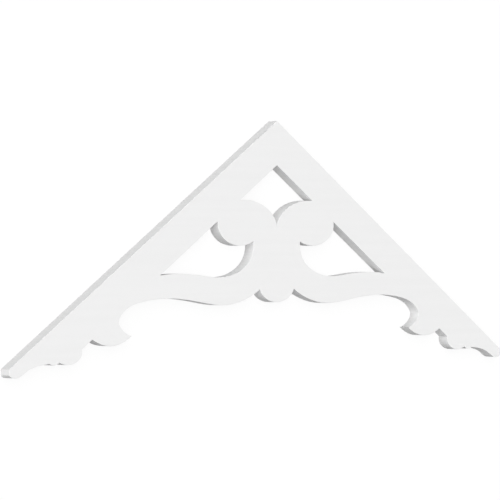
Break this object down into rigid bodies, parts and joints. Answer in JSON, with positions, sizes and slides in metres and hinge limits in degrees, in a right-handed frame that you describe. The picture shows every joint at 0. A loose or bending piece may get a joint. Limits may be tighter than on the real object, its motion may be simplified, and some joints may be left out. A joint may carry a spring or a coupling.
{
  "type": "gable pediment",
  "caption": "Flat openwork gable pediment sawn from white cellular PVC board: two rakes, scrolled arms, a pendant and lobed tips.",
  "frame": {"origin": "on the back face, in the middle of the outline's bounding box", "axes": "+X across the gable, +Y in the board's plane towards the apex, +Z out of the front face; the pediment lies on its back"},
  "size_m": [1.524, 0.5262, 0.0254],
  "materials": {
    "pediment": "satin"
  },
  "bodies": {
    "root": {"pediment": "pediment"}
  },
  "joints": []
}
